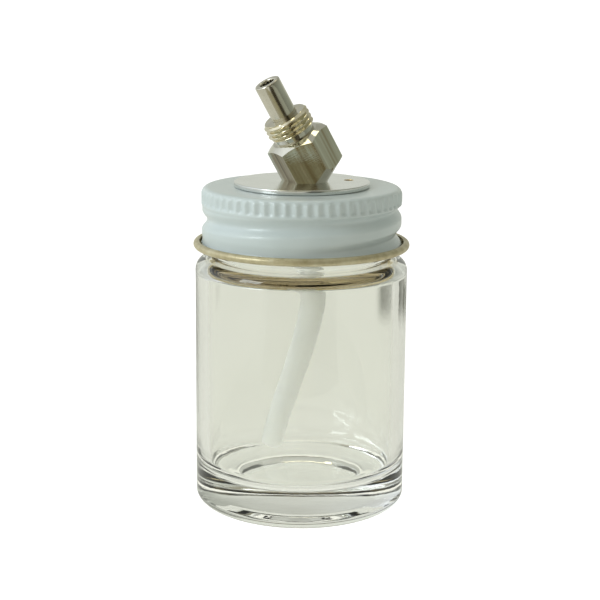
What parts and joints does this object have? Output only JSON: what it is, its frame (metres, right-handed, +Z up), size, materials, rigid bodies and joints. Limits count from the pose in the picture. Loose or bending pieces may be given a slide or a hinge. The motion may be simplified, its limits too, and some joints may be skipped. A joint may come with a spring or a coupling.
{
  "type": "airbrush siphon-feed colour bottle",
  "caption": "Clear glass colour jar with a white screw cap, polished vent disc, tilted hexagonal threaded fitting with colour tube, and a milky dip tube inside, for an airbrush.",
  "frame": {"origin": "centre of the jar's base, on the surface that it stands on", "axes": "+Z up along the jar's axis; the tilted fitting leans 30 degrees from +Z towards -X and, less, towards -Y; the vent hole is on the +X side of the disc"},
  "size_m": [0.0362, 0.0362, 0.073],
  "materials": {
    "clear_glass": "clear moulded glass, polished",
    "white_enamel": "white baked enamel on tinplate, satin gloss",
    "liner_pulp": "gold-brown faced pulp sealing ring, matt",
    "polished_disc": "fine-turned and polished",
    "nickel_plate": "bright nickel plate on turned brass",
    "tube_nickel": "bright nickel plate",
    "nipple_brass": "machined brass",
    "zinc_plate": "zinc-plated steel",
    "spring_steel": "plain spring steel",
    "nut_steel": "machined, plated",
    "milky_polythene": "translucent natural polythene"
  },
  "bodies": {
    "jar": {"glass_jar": "clear_glass"},
    "liner": {"sealing_liner": "liner_pulp"},
    "cap": {"cap_shell": "white_enamel"},
    "feed": {"cover_disc": "polished_disc", "hex_fitting": "nickel_plate", "colour_tube": "tube_nickel", "feed_nipple": "nipple_brass", "backing_washer": "zinc_plate", "lock_washer": "spring_steel", "lock_nut": "nut_steel", "siphon_tube": "milky_polythene"}
  },
  "joints": [
    {"name": "cap_lift", "type": "slide", "parent": "jar", "child": "liner", "axis": [0, 0, 1], "range_m": [0, 0.0043]},
    {"name": "cap_turn", "type": "hinge", "parent": "liner", "child": "cap", "pos_m": [0, 0, 0.0547], "axis": [0, 0, 1], "range_deg": [0, 350]},
    {"name": "feed_swivel", "type": "hinge", "parent": "cap", "child": "feed", "pos_m": [0, 0, 0.0547], "axis": [0, 0, 1], "continuous": true}
  ],
  "couplings": [
    {"joint": "cap_lift", "follows": "cap_turn", "m_per_rad": 0.00067376}
  ]
}
